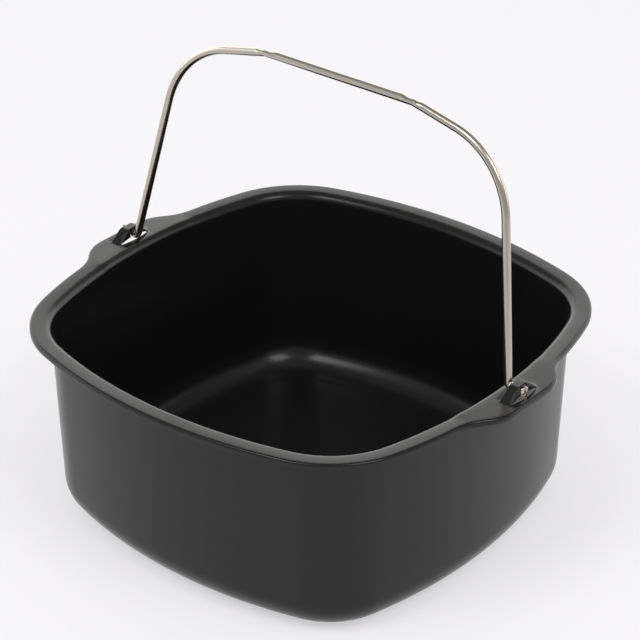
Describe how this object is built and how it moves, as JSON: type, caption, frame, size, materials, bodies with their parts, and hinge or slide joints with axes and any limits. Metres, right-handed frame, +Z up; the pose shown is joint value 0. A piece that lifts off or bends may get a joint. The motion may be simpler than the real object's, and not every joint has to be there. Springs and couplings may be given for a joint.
{
  "type": "air fryer cake pan",
  "caption": "Deep square cake pan with bulged sides, flat rim and two ears that hold a swinging wire bail handle.",
  "frame": {"origin": "middle of the pan's underside, on the surface it stands on", "axes": "+X along the handle's hinge line, from the centre towards one ear; +Y across the pan, the way the handle leans at rest; +Z up out of the open mouth"},
  "size_m": [0.225, 0.21, 0.1929],
  "materials": {
    "nonstick_coat": "black non-stick coat with a soft sheen, on carbon steel sheet",
    "bright_wire": "bright polished wire"
  },
  "bodies": {
    "pan": {"pan_body": "nonstick_coat"},
    "bail": {"bail_handle": "bright_wire"}
  },
  "joints": [
    {"name": "bail_swing", "type": "hinge", "parent": "pan", "child": "bail", "pos_m": [0, 0, 0.0918], "axis": [1, 0, 0], "range_deg": [-80.6, 99.4]}
  ]
}
